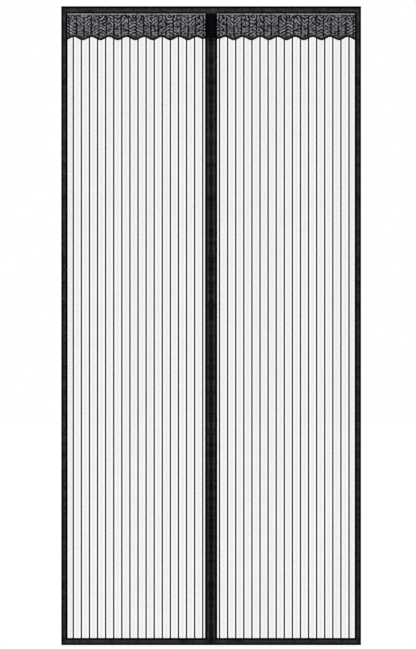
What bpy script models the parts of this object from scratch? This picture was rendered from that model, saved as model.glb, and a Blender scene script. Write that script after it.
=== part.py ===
"""Magnetic insect screen for a doorway: two striped net panels that close on magnets.

Metres, +Z up. The front faces -Y and the door frame is the plane Y = 0. The origin is the
middle of the adhesive face of the top tape, so the whole screen hangs below it.
"""

import math

import bmesh
import bpy
from mathutils import Matrix, Vector

# The whole screen, hung flat
SCREEN_WIDTH = 0.990
SCREEN_HEIGHT = 2.110
CENTRE_GAP = 0.0006

# Space left between pieces that touch or are sewn together on the real screen
FIT_GAP = 0.0003

# Bands: tape folded in half over each edge of the net
BAND_LEAF = 0.0006
HEADER_HEIGHT = 0.021
SIDE_BAND_WIDTH = 0.020
CENTRE_BAND_WIDTH = 0.01885
HEM_HEIGHT = 0.0235
POCKET_SLOPE = 0.0022
SEAM_INSET = 0.003
SEAM_WIDTH = 0.0014
SEAM_DEPTH = 0.0002
FOLD_STEPS = 6
SLOPE_STEPS = 4

# Net: a thin wall with thick stripes on both faces and slits between its threads
NET_THICKNESS = 0.0005
NET_SEAM = 0.012
STRIPE_WIDTH = 0.0052
STRIPE_THICKNESS = 0.0008
STRIPE_SHOULDER = 0.0008
STRIPE_PITCH = 0.02672
FIRST_STRIPE = 0.00865
NET_BAR = 0.0009
SLIT_PITCH = 0.00357
SLIT_END_MARGIN = 0.003

# Valance: knitted lace hung across the top, with herringbone ribs and a wavy lower edge
VALANCE_BASE = 0.0005
VALANCE_RIB = 0.0005
VALANCE_DROP = 0.0861
VALANCE_COLUMN = 0.0246
FIRST_COLUMN = 0.0055
RIB_PITCH = 0.0085
RIB_FALL = 0.018
WAVE_PITCH = 0.0579
WAVE_DEPTH = 0.0106
WAVE_FADE = 0.020
LEFT_FIRST_CREST = 0.0217
RIGHT_FIRST_CREST = 0.0265
EDGING_WIDTH = 0.005
EDGING_THICKNESS = 0.0012
WAVE_STEPS = 6
FLAT_ANGLE = 0.001

# Patch that holds the two panels together at the top
PATCH_WIDTH = 0.033
PATCH_DROP = 0.0033
PATCH_RISE = 0.0026
PATCH_THICKNESS = 0.0008
PATCH_HEM = 0.004
PATCH_HEM_RISE = 0.0003

# Hook and loop tape round the back: the loops are sewn on, the hooks stick to the frame
TAPE_WIDTH = 0.016
LOOP_THICKNESS = 0.0012
HOOK_THICKNESS = 0.0012
TAPE_END_MARGIN = 0.002

# Magnets in the centre bands and weights in the hem
MAGNET_PAIRS = 13
MAGNET_LENGTH = 0.045
MAGNET_WIDTH = 0.0105
MAGNET_THICKNESS = 0.0024
MAGNET_EDGE = 0.0004
MAGNET_END_MARGIN = 0.045
WEIGHT_HEIGHT = 0.0085
WEIGHT_THICKNESS = 0.002
WEIGHT_EDGE = 0.0004
WEIGHT_END_MARGIN = 0.006

# Colour, roughness and metallic value of each material
FINISHES = {
    "net_yarn": ((0.012, 0.012, 0.013), 0.75, 0.0),
    "binding_tape": ((0.020, 0.020, 0.022), 0.80, 0.0),
    "valance_lace": ((0.11, 0.11, 0.12), 0.70, 0.0),
    "edging_yarn": ((0.008, 0.008, 0.008), 0.75, 0.0),
    "patch_fabric": ((0.006, 0.006, 0.007), 0.70, 0.0),
    "loop_tape": ((0.010, 0.010, 0.010), 0.95, 0.0),
    "hook_tape": ((0.014, 0.014, 0.014), 0.55, 0.0),
    "magnet_ferrite": ((0.045, 0.043, 0.042), 0.55, 0.3),
    "weight_steel": ((0.32, 0.32, 0.33), 0.45, 1.0),
}

# Heights of the horizontal seams, from the origin at the middle of the header
Z_TOP = HEADER_HEIGHT / 2
Z_HEADER = Z_TOP - HEADER_HEIGHT
Z_BOTTOM = Z_TOP - SCREEN_HEIGHT
Z_HEM = Z_BOTTOM + HEM_HEIGHT

# Layers from the door frame forwards, each FIT_GAP in front of the one behind
Y_LOOP_BACK = -HOOK_THICKNESS - FIT_GAP
Y_BAND_BACK = Y_LOOP_BACK - LOOP_THICKNESS - FIT_GAP
NET_SPACE = STRIPE_THICKNESS / 2 + FIT_GAP
Y_NET = Y_BAND_BACK - BAND_LEAF - NET_SPACE
Y_VALANCE_BACK = Y_NET - NET_SPACE
Y_VALANCE_FRONT = Y_VALANCE_BACK - VALANCE_BASE - VALANCE_RIB
HEADER_SPACE = (Y_BAND_BACK - BAND_LEAF - Y_VALANCE_FRONT + FIT_GAP) / 2
Y_HEADER = Y_BAND_BACK - BAND_LEAF - HEADER_SPACE

# Half the space between the leaves of the centre bands and the hem
MAGNET_SPACE = MAGNET_THICKNESS / 2 + FIT_GAP
PINCH_SPACE = NET_THICKNESS / 2 + FIT_GAP
WEIGHT_SPACE = WEIGHT_THICKNESS / 2 + FIT_GAP
Y_PATCH_BACK = Y_NET - MAGNET_SPACE - BAND_LEAF - FIT_GAP

# Distances from the middle of the screen outwards
X_EDGE = SCREEN_WIDTH / 2
X_SIDE_MOUTH = X_EDGE - SIDE_BAND_WIDTH
X_CENTRE_EDGE = CENTRE_GAP / 2
X_CENTRE_MOUTH = X_CENTRE_EDGE + CENTRE_BAND_WIDTH

# Where the pockets end, counted from the fold of their band
MAGNET_POCKET_END = BAND_LEAF + MAGNET_SPACE + MAGNET_WIDTH + FIT_GAP
WEIGHT_POCKET_END = BAND_LEAF + WEIGHT_SPACE + WEIGHT_HEIGHT + FIT_GAP

SIDES = {"left": -1, "right": 1}


def clear_scene():
    """Remove whatever the scene holds."""
    for item in list(bpy.data.objects):
        bpy.data.objects.remove(item)


def make_collection(name):
    """Add a collection to the scene."""
    collection = bpy.data.collections.new(name)
    bpy.context.scene.collection.children.link(collection)
    return collection


def make_material(name):
    """Make the Principled material that FINISHES describes."""
    colour, roughness, metallic = FINISHES[name]
    material = bpy.data.materials.new(name)
    material.use_nodes = True
    shader = material.node_tree.nodes["Principled BSDF"]
    shader.inputs["Base Color"].default_value = (*colour, 1.0)
    shader.inputs["Roughness"].default_value = roughness
    shader.inputs["Metallic"].default_value = metallic
    material.diffuse_color = (*colour, 1.0)
    return material


def add_piece(name, mesh, material):
    """Put a mesh into the screen's collection as a named piece."""
    piece = bpy.data.objects.new(name, mesh)
    parts.objects.link(piece)
    if not mesh.materials:
        mesh.materials.append(materials[material])
    return piece


def add_cutter(name, mesh):
    """Put a mesh into the cutters' collection, drawn as wire and left out of renders."""
    cutter = bpy.data.objects.new(name, mesh)
    cutters.objects.link(cutter)
    cutter.display_type = "WIRE"
    cutter.hide_render = True
    return cutter


def cut(piece, cutter, operation, solver="EXACT"):
    """Add a Boolean to a piece. The exact solver loses faces of the net's long thin lanes."""
    boolean = piece.modifiers.new(cutter.name, "BOOLEAN")
    boolean.operation = operation
    boolean.solver = solver
    boolean.object = cutter


def finish_mesh(mesh, bm):
    """Turn the faces outwards and write them to the mesh."""
    bmesh.ops.recalc_face_normals(bm, faces=bm.faces)
    bm.to_mesh(mesh)
    bm.free()
    return mesh


def outline_mesh(name, outline, length):
    """Extrude a flat closed outline, drawn in X and Y, from Z = 0 to Z = length."""
    curve = bpy.data.curves.new(name, "CURVE")
    curve.dimensions = "2D"
    curve.fill_mode = "BOTH"
    curve.extrude = length / 2
    spline = curve.splines.new("POLY")
    spline.points.add(len(outline) - 1)
    for point, (x, y) in zip(spline.points, outline):
        point.co = (x, y, 0.0, 1.0)
    spline.use_cyclic_u = True
    drawn = bpy.data.objects.new(name, curve)
    bpy.context.scene.collection.objects.link(drawn)
    graph = bpy.context.evaluated_depsgraph_get()
    mesh = bpy.data.meshes.new_from_object(drawn.evaluated_get(graph))
    bpy.data.objects.remove(drawn)
    bm = bmesh.new()
    bm.from_mesh(mesh)
    bmesh.ops.remove_doubles(bm, verts=bm.verts, dist=1e-6)
    bmesh.ops.translate(bm, verts=bm.verts, vec=(0, 0, length / 2))
    return finish_mesh(mesh, bm)


def place_axes(corner, across, out, along):
    """Matrix whose local X, Y and Z run across a band, out of its face and along it."""
    axes = Matrix((across, out, along)).transposed().to_4x4()
    return Matrix.Translation(Vector(corner)) @ axes


def box_mesh(name, low, high, edge=0.0):
    """A box between two corners, its edges softened by a bevel where edge is given."""
    bm = bmesh.new()
    bmesh.ops.create_cube(bm, size=1.0)
    low, high = Vector(low), Vector(high)
    bmesh.ops.scale(bm, vec=high - low, verts=bm.verts)
    bmesh.ops.translate(bm, vec=(low + high) / 2, verts=bm.verts)
    if edge:
        bmesh.ops.bevel(bm, geom=bm.edges, offset=edge, segments=1, affect="EDGES")
    return finish_mesh(bpy.data.meshes.new(name), bm)


def leaf_section(width, pocket_space, mouth_space, pocket_end):
    """Points of one leaf's inner face from the fold to the mouth, as across and out."""
    centre = BAND_LEAF + pocket_space
    points = []
    for step in range(FOLD_STEPS + 1):
        turn = math.pi / 2 * step / FOLD_STEPS
        points.append((centre - pocket_space * math.cos(turn), pocket_space * math.sin(turn)))
    if pocket_space > mouth_space:
        for step in range(SLOPE_STEPS + 1):
            share = step / SLOPE_STEPS
            drop = (pocket_space - mouth_space) * (1 - math.cos(math.pi * share)) / 2
            points.append((pocket_end + POCKET_SLOPE * share, pocket_space - drop))
    points.append((width, mouth_space))
    return points


def band_outline(width, pocket_space, mouth_space, pocket_end=0.0):
    """Closed section of a folded band: both leaves, round the fold and back inside it.

    The seam that holds the mouth shut presses a shallow groove into each outer face.
    """
    inner = leaf_section(width, pocket_space, mouth_space, pocket_end)
    centre = BAND_LEAF + pocket_space
    outer = []
    for index, (across, out) in enumerate(inner[:-1]):
        if index <= FOLD_STEPS:
            turn = math.pi / 2 * index / FOLD_STEPS
            radius = pocket_space + BAND_LEAF
            outer.append((centre - radius * math.cos(turn), radius * math.sin(turn)))
        else:
            outer.append((across, out + BAND_LEAF))
    face = mouth_space + BAND_LEAF
    seam = width - SEAM_INSET
    outer += [(seam - SEAM_WIDTH / 2, face), (seam, face - SEAM_DEPTH)]
    outer += [(seam + SEAM_WIDTH / 2, face), (width, face)]
    back_outer = [(across, -out) for across, out in outer[:0:-1]]
    back_inner = [(across, -out) for across, out in inner[1:]]
    return back_outer + outer + inner[::-1] + back_inner


def folded_band(name, outline, length, place, start_slope=0.0, end_slope=0.0):
    """A folded band along its own Z, with each end square or cut to a mitre.

    A slope is how far the end moves along the band for each metre across it.
    """
    mesh = outline_mesh(name, outline, length)
    start_gap = FIT_GAP / 2 * math.hypot(1, start_slope) if start_slope else 0.0
    end_gap = FIT_GAP / 2 * math.hypot(1, end_slope) if end_slope else 0.0
    for vertex in mesh.vertices:
        if vertex.co.z > length / 2:
            vertex.co.z = length - end_gap - end_slope * vertex.co.x
        else:
            vertex.co.z = start_gap + start_slope * vertex.co.x
    mesh.transform(place)
    bm = bmesh.new()
    bm.from_mesh(mesh)
    return add_piece(name, finish_mesh(mesh, bm), "binding_tape")


def stripe_centres():
    """Distance of each stripe of a panel from the middle of the screen."""
    first = X_CENTRE_MOUTH + FIRST_STRIPE
    count = int((X_SIDE_MOUTH - STRIPE_WIDTH / 2 - first) / STRIPE_PITCH) + 1
    return [first + STRIPE_PITCH * number for number in range(count)]


def net_outline(inner, outer):
    """Section of the net seen from above: a thin wall with a low ridge at each stripe."""
    half = NET_THICKNESS / 2
    ridge = STRIPE_THICKNESS / 2
    face = [(inner, half)]
    for centre in stripe_centres():
        foot = STRIPE_WIDTH / 2
        top = foot - STRIPE_SHOULDER
        face += [(centre - foot, half), (centre - top, ridge)]
        face += [(centre + top, ridge), (centre + foot, half)]
    face.append((outer, half))
    return face + [(x, -y) for x, y in reversed(face)]


def slit_mesh(name, side):
    """Cutters for the slits: each lane between two stripes is split into even slits."""
    stripes = stripe_centres()
    foot = STRIPE_WIDTH / 2
    starts = [X_CENTRE_MOUTH] + [centre + foot for centre in stripes]
    ends = [centre - foot for centre in stripes] + [X_SIDE_MOUTH]
    low_z = Z_HEM + SLIT_END_MARGIN
    high_z = Z_HEADER - SLIT_END_MARGIN
    bm = bmesh.new()
    for start, end in zip(starts, ends):
        lane = end - start
        count = max(1, round((lane - NET_BAR) / SLIT_PITCH))
        width = (lane - NET_BAR * (count + 1)) / count
        for number in range(count):
            middle = start + NET_BAR + width / 2 + (width + NET_BAR) * number
            size = Matrix.Diagonal((width, 4 * STRIPE_THICKNESS, high_z - low_z, 1))
            centre = Vector((side * middle, Y_NET, (low_z + high_z) / 2))
            bmesh.ops.create_cube(bm, size=1.0, matrix=Matrix.Translation(centre) @ size)
    return finish_mesh(bpy.data.meshes.new(name), bm)


def build_net(side_name, side):
    """One panel of net, its edges held inside the four bands around it."""
    inner = X_CENTRE_EDGE + MAGNET_POCKET_END + POCKET_SLOPE + FIT_GAP
    outer = X_SIDE_MOUTH + NET_SEAM
    low = Z_BOTTOM + WEIGHT_POCKET_END + POCKET_SLOPE + FIT_GAP
    high = Z_HEADER + NET_SEAM
    mesh = outline_mesh(f"{side_name}_net", net_outline(inner, outer), high - low)
    mesh.transform(place_axes((0, Y_NET, low), (side, 0, 0), (0, -1, 0), (0, 0, 1)))
    bm = bmesh.new()
    bm.from_mesh(mesh)
    net = add_piece(f"{side_name}_net", finish_mesh(mesh, bm), "net_yarn")
    cutter_name = f"{side_name}_net_slits"
    cutter = add_cutter(cutter_name, slit_mesh(cutter_name, side))
    cut(net, cutter, "DIFFERENCE", solver="MANIFOLD")


def build_header():
    """Band along the whole top, folded over the nets and the tops of the valances."""
    outline = band_outline(HEADER_HEIGHT, HEADER_SPACE, HEADER_SPACE)
    place = place_axes((-X_EDGE, Y_HEADER, Z_TOP), (0, 0, -1), (0, -1, 0), (1, 0, 0))
    folded_band("header_band", outline, SCREEN_WIDTH, place)


def build_panel_bands(side_name, side):
    """Side band, hem and centre band of one panel, mitred where they meet at the bottom."""
    height = Z_HEADER - FIT_GAP - Z_BOTTOM
    out = (0, -1, 0)
    side_outline = band_outline(SIDE_BAND_WIDTH, NET_SPACE, NET_SPACE)
    side_place = place_axes((side * X_EDGE, Y_NET, Z_BOTTOM), (-side, 0, 0), out, (0, 0, 1))
    side_slope = HEM_HEIGHT / SIDE_BAND_WIDTH
    folded_band(f"{side_name}_side_band", side_outline, height, side_place, side_slope)

    centre_outline = band_outline(
        CENTRE_BAND_WIDTH, MAGNET_SPACE, PINCH_SPACE, MAGNET_POCKET_END
    )
    centre_corner = (side * X_CENTRE_EDGE, Y_NET, Z_BOTTOM)
    centre_place = place_axes(centre_corner, (side, 0, 0), out, (0, 0, 1))
    centre_slope = HEM_HEIGHT / CENTRE_BAND_WIDTH
    folded_band(
        f"{side_name}_centre_band", centre_outline, height, centre_place, centre_slope
    )

    hem_outline = band_outline(HEM_HEIGHT, WEIGHT_SPACE, NET_SPACE, WEIGHT_POCKET_END)
    hem_place = place_axes(centre_corner, (0, 0, 1), out, (side, 0, 0))
    folded_band(
        f"{side_name}_hem",
        hem_outline,
        X_EDGE - X_CENTRE_EDGE,
        hem_place,
        1 / centre_slope,
        1 / side_slope,
    )


def wave_height(x, left_end, first_crest):
    """Height of the valance's outer wavy edge at x. The wave dies out beside the patch."""
    mean = Z_HEADER - VALANCE_DROP
    turn = 2 * math.pi * (x - left_end - first_crest) / WAVE_PITCH
    share = min(1, (abs(x) - X_CENTRE_MOUTH - FIT_GAP) / WAVE_FADE)
    return mean + WAVE_DEPTH / 2 * math.cos(turn) * share * share * (3 - 2 * share)


def wave_line(left_end, right_end, first_crest, rise):
    """Points along the wavy edge, lifted by rise, from left to right."""
    count = math.ceil((right_end - left_end) / WAVE_PITCH * WAVE_STEPS)
    points = []
    for step in range(count + 1):
        x = left_end + (right_end - left_end) * step / count
        points.append((x, wave_height(x, left_end, first_crest) + rise))
    return points


def plate_from_front(name, outline, y_back, y_front):
    """A flat plate whose outline is drawn in X and Z, between two depths."""
    mesh = outline_mesh(name, outline, y_back - y_front)
    mesh.transform(place_axes((0, y_back, 0), (1, 0, 0), (0, 0, 1), (0, -1, 0)))
    bm = bmesh.new()
    bm.from_mesh(mesh)
    return finish_mesh(mesh, bm)


def rib_shift(distance):
    """How far the ribs have fallen: they zigzag from one upright line to the next."""
    return RIB_FALL * abs((distance - FIRST_COLUMN) / VALANCE_COLUMN % 2 - 1)


def ribbed_slab(name, left_end, right_end, low, high, side):
    """Flat-backed slab whose front is folded into herringbone ribs, a little oversize.

    The knit's upright lines are spaced inwards from the side band, so the two valances
    mirror each other.
    """
    margin = 2 * FIT_GAP
    outer_end = right_end if side > 0 else left_end
    count = int((right_end - left_end - FIRST_COLUMN) / VALANCE_COLUMN) + 1
    distances = [FIRST_COLUMN + VALANCE_COLUMN * number for number in range(count)]
    lines = sorted(outer_end - side * distance for distance in distances)
    lines = [left_end - margin] + lines + [right_end + margin]
    columns = len(lines) - 1
    shifts = [rib_shift(side * (outer_end - x)) for x in lines]
    rows = math.ceil((high - low + RIB_FALL + 2 * margin) / (RIB_PITCH / 2)) + 1
    bm = bmesh.new()
    bmesh.ops.create_grid(bm, x_segments=columns, y_segments=rows, size=0.5)
    for vertex in bm.verts:
        column = round((vertex.co.x + 0.5) * columns)
        row = round((0.5 - vertex.co.y) * rows)
        depth = Y_VALANCE_FRONT if row % 2 else Y_VALANCE_FRONT + VALANCE_RIB
        top = high + margin + RIB_FALL
        vertex.co = (lines[column], depth, top - row * RIB_PITCH / 2 - shifts[column])
    extruded = bmesh.ops.extrude_face_region(bm, geom=bm.faces[:])["geom"]
    back = [item for item in extruded if isinstance(item, bmesh.types.BMVert)]
    for vertex in back:
        vertex.co.y = Y_VALANCE_BACK
    bm.normal_update()
    flat_edges = [edge for edge in bm.edges if all(end in back for end in edge.verts)]
    bmesh.ops.dissolve_limit(bm, angle_limit=FLAT_ANGLE, verts=back, edges=flat_edges)
    return finish_mesh(bpy.data.meshes.new(name), bm)


def build_valance(side_name, side, left_end, right_end, first_crest):
    """Lace valance of one panel, with its wavy lower edge and the cord-thin edging."""
    name = f"{side_name}_valance"
    steepest = math.pi * WAVE_DEPTH / WAVE_PITCH
    rise = EDGING_WIDTH + FIT_GAP * math.hypot(1, steepest)
    top = Z_HEADER + NET_SEAM
    lowest = Z_HEADER - VALANCE_DROP - WAVE_DEPTH / 2
    ribbed = ribbed_slab(name, left_end, right_end, lowest, top, side)
    slab = add_piece(name, ribbed, "valance_lace")
    lower = wave_line(left_end, right_end, first_crest, rise)
    outline = lower + [(right_end, top), (left_end, top)]
    shape = plate_from_front(
        f"{name}_outline", outline, Y_VALANCE_BACK + FIT_GAP, Y_VALANCE_FRONT - FIT_GAP
    )
    cut(slab, add_cutter(f"{name}_outline", shape), "INTERSECT")

    outer = wave_line(left_end, right_end, first_crest, 0.0)
    inner = wave_line(left_end, right_end, first_crest, EDGING_WIDTH)
    edging = plate_from_front(
        f"{name}_edging",
        outer + inner[::-1],
        Y_VALANCE_BACK,
        Y_VALANCE_BACK - EDGING_THICKNESS,
    )
    add_piece(f"{name}_edging", edging, "edging_yarn")


def build_patch():
    """Patch sewn over both centre bands, which joins the panels, with its hem turned in."""
    foot = Z_HEADER - VALANCE_DROP + PATCH_RISE
    low = (-PATCH_WIDTH / 2, Y_PATCH_BACK - PATCH_THICKNESS, foot)
    high = (PATCH_WIDTH / 2, Y_PATCH_BACK, Z_HEADER - PATCH_DROP)
    mesh = box_mesh("top_joining_patch", low, high)
    bm = bmesh.new()
    bm.from_mesh(mesh)
    front = [face for face in bm.faces if face.normal.y < -0.5]
    bmesh.ops.inset_region(bm, faces=front, thickness=PATCH_HEM)
    bmesh.ops.inset_region(bm, faces=front, thickness=PATCH_HEM_RISE)
    inner = {vertex for face in front for vertex in face.verts}
    bmesh.ops.translate(bm, verts=list(inner), vec=(0, PATCH_HEM_RISE, 0))
    add_piece("top_joining_patch", finish_mesh(mesh, bm), "patch_fabric")


def build_tapes(kind, y_back, thickness):
    """One kind of tape round the back: along the top and down both sides."""
    y_front = y_back - thickness
    half = TAPE_WIDTH / 2
    middle = X_EDGE - SIDE_BAND_WIDTH / 2
    reach = middle + half
    top_mesh = box_mesh(f"{kind}_top", (-reach, y_front, -half), (reach, y_back, half))
    add_piece(f"{kind}_top", top_mesh, kind)
    low_z = Z_HEM + TAPE_END_MARGIN
    for side_name, side in SIDES.items():
        low = (side * middle - half, y_front, low_z)
        high = (side * middle + half, y_back, -half - FIT_GAP)
        name = f"{kind}_{side_name}"
        add_piece(name, box_mesh(name, low, high), kind)


def build_magnets():
    """Pairs of flat bar magnets, one each side of the slit, spread evenly down it."""
    half = Vector((MAGNET_WIDTH, MAGNET_THICKNESS, MAGNET_LENGTH)) / 2
    mesh = box_mesh("magnet", -half, half, MAGNET_EDGE)
    from_fold = BAND_LEAF + MAGNET_SPACE + MAGNET_WIDTH / 2
    high = Z_HEADER - FIT_GAP - MAGNET_END_MARGIN - MAGNET_LENGTH / 2
    low = Z_HEM + MAGNET_END_MARGIN + MAGNET_LENGTH / 2
    pitch = (high - low) / (MAGNET_PAIRS - 1)
    for side_name, side in SIDES.items():
        for number in range(MAGNET_PAIRS):
            magnet = add_piece(f"{side_name}_magnet_{number + 1:02d}", mesh, "magnet_ferrite")
            magnet.location = (
                side * (X_CENTRE_EDGE + from_fold),
                Y_NET,
                high - pitch * number,
            )


def build_hem_weights():
    """A flat bar in the fold of each hem, which keeps the panel hanging straight."""
    low_z = Z_BOTTOM + BAND_LEAF + WEIGHT_SPACE
    half = WEIGHT_THICKNESS / 2
    inner = X_CENTRE_MOUTH + WEIGHT_END_MARGIN
    outer = X_SIDE_MOUTH - WEIGHT_END_MARGIN
    for side_name, side in SIDES.items():
        ends = sorted((side * inner, side * outer))
        low = (ends[0], Y_NET - half, low_z)
        high = (ends[1], Y_NET + half, low_z + WEIGHT_HEIGHT)
        name = f"{side_name}_hem_weight"
        add_piece(name, box_mesh(name, low, high, WEIGHT_EDGE), "weight_steel")


clear_scene()
parts = make_collection("magnetic_insect_screen")
cutters = make_collection("cutters")
materials = {name: make_material(name) for name in FINISHES}

build_header()
for side_label, side_sign in SIDES.items():
    build_net(side_label, side_sign)
    build_panel_bands(side_label, side_sign)
valance_inner = X_CENTRE_MOUTH + FIT_GAP
valance_outer = X_SIDE_MOUTH - FIT_GAP
build_valance("left", -1, -valance_outer, -valance_inner, LEFT_FIRST_CREST)
build_valance("right", 1, valance_inner, valance_outer, RIGHT_FIRST_CREST)
build_patch()
build_tapes("loop_tape", Y_LOOP_BACK, LOOP_THICKNESS)
build_tapes("hook_tape", 0.0, HOOK_THICKNESS)
build_magnets()
build_hem_weights()
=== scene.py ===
"""Looks of a magnetic insect screen for a doorway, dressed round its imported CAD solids."""

import logging
import math
from dataclasses import dataclass, field
from enum import Enum
from functools import partial
from typing import Any, Callable, Sequence, Union

import bpy
import numpy as np
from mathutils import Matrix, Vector

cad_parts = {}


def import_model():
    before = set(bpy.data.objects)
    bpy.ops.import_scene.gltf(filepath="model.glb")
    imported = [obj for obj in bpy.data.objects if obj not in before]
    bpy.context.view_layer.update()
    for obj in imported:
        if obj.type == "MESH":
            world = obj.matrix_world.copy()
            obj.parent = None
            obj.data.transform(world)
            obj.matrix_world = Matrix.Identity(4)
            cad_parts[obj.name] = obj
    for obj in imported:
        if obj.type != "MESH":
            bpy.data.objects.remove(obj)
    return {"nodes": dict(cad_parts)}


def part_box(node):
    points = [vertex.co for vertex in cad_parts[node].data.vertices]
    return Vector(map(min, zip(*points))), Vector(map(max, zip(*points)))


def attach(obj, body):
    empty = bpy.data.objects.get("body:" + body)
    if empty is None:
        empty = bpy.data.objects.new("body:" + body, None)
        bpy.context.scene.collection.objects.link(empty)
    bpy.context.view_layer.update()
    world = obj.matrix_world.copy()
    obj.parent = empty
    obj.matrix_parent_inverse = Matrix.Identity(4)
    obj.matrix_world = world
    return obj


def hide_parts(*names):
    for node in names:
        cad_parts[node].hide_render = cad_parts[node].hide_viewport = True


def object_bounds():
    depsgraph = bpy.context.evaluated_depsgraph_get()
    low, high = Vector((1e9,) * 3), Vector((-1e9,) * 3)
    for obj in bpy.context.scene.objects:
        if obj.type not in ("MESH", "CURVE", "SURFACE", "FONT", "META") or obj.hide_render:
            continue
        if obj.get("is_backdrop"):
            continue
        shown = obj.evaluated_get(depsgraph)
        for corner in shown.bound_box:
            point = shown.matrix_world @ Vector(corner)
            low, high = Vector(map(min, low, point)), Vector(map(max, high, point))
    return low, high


LOG = logging.getLogger("insect_screen")
MM = 0.001
BODY = "root"
SEED = 11
RIGHT, UP, OUT = Vector((1, 0, 0)), Vector((0, 0, 1)), Vector((0, -1, 0))

# An adder adds a node to one tree. A part is its points and its faces. A shape turns shares
# across and along a cloth into points in the row frame and metres on the cloth.
Socket = bpy.types.NodeSocket
Piece = bpy.types.Object
Adder = Callable[..., Socket]
Part = tuple[np.ndarray, list[list[int]]]
Shape = Callable[[np.ndarray, np.ndarray], tuple[np.ndarray, np.ndarray]]


class Side(Enum):
    """The two halves of the screen, with the sign of X on each."""

    LEFT = -1
    RIGHT = 1

    @property
    def word(self) -> str:
        """The side's name as the nodes spell it."""
        return self.name.lower()


def linear(hex_colour: str) -> tuple[float, float, float, float]:
    """Turn an sRGB hex colour into linear values with full alpha.

    Args:
        hex_colour: six hex digits with a leading hash.

    Returns:
        Red, green, blue and alpha, linear.
    """
    channels = [int(hex_colour[i : i + 2], 16) / 255 for i in (1, 3, 5)]
    curve = [c / 12.92 if c <= 0.04045 else ((c + 0.055) / 1.055) ** 2.4 for c in channels]
    return (curve[0], curve[1], curve[2], 1.0)


def smooth(value: np.ndarray) -> np.ndarray:
    """Ease a share from 0 to 1, clamped at both ends."""
    share = np.clip(value, 0.0, 1.0)
    return share * share * (3 - 2 * share)


def centred(count: int, pitch: float) -> np.ndarray:
    """Offsets of some things at a pitch, with 0 in their middle."""
    return (np.arange(count) - (count - 1) / 2) * pitch


def value_noise(first: np.ndarray, second: np.ndarray) -> np.ndarray:
    """Soft random hills and hollows, one for each unit of both coordinates.

    Args:
        first: positive coordinates one way.
        second: positive coordinates the other way.

    Returns:
        Heights from -1 to 1, the same on every run.
    """
    lattice = np.random.default_rng(SEED).uniform(-1, 1, (256, 256))
    row, column = np.floor(first).astype(int) % 255, np.floor(second).astype(int) % 255
    right, up = smooth(first - np.floor(first)), smooth(second - np.floor(second))
    near = lattice[row, column] * (1 - right) + lattice[row + 1, column] * right
    far = lattice[row, column + 1] * (1 - right) + lattice[row + 1, column + 1] * right
    return near * (1 - up) + far * up


def wave_scale(period: float) -> float:
    """Scale of a Wave Texture whose bands repeat at a period in metres."""
    return math.tau / (20 * period)


def feed(node: bpy.types.Node, given: dict[Any, Any]) -> None:
    """Set a node's properties and inputs, and link the sockets that feed it.

    Args:
        node: the node.
        given: a value or an output socket for each property or input, by name or number.
    """
    for key, value in given.items():
        if isinstance(value, Socket):
            node.id_data.links.new(value, node.inputs[key])
        elif isinstance(key, str) and hasattr(node, key):
            setattr(node, key, value)
        else:
            node.inputs[key].default_value = value


def add_node(
    tree: bpy.types.NodeTree, kind: str, given: dict[Any, Any], out: Union[int, str] = 0
) -> Socket:
    """Add one shader node to a tree, with its settings and links.

    Args:
        tree: the node tree of a material or world.
        kind: the node's type name, without the word ShaderNode in front.
        given: its settings and links, as feed takes them.
        out: name or number of the output that is wanted.

    Returns:
        That output.
    """
    node = tree.nodes.new(f"ShaderNode{kind}")
    feed(node, given)
    return node.outputs[out]


@dataclass(frozen=True)
class Finish:
    """A surface finish, on a Principled shader that starts out like cloth.

    Attributes:
        name: what the material is and how it was made.
        tone: its main colour, as an sRGB hex value.
        roughness: typical roughness of the real surface.
        specular: specular level, low on cloth because its fibres scatter light.
        metallic: 1 on bare metal.
        relief: depth of its fine relief.
    """

    name: str
    tone: str
    roughness: float = 0.85
    specular: float = 0.02
    metallic: float = 0.0
    relief: float = 0.1 * MM

    def material(self) -> bpy.types.Material:
        """Build the material, or hand back the one that was built before.

        Returns:
            The finished Blender material.
        """
        made = bpy.data.materials.get(self.name)
        if made:
            return made
        made = bpy.data.materials.new(self.name)
        made.use_nodes = True
        tree = made.node_tree
        painted = self.paint(partial(add_node, tree))
        bump = {"Strength": 1.0, "Distance": self.relief, "Height": painted.pop("Height")}
        plain = {
            "Roughness": self.roughness,
            "Specular IOR Level": self.specular,
            "Metallic": self.metallic,
            "Normal": add_node(tree, "Bump", bump),
        }
        feed(tree.nodes["Principled BSDF"], {**plain, **painted})
        return made

    def paint(self, add: Adder) -> dict[str, Any]:
        """Draw the finish's own pattern.

        Args:
            add: adds a node to the material's tree.

        Returns:
            What feeds the shader, by input name, and the pattern of the relief under Height.
        """
        raise NotImplementedError


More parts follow.
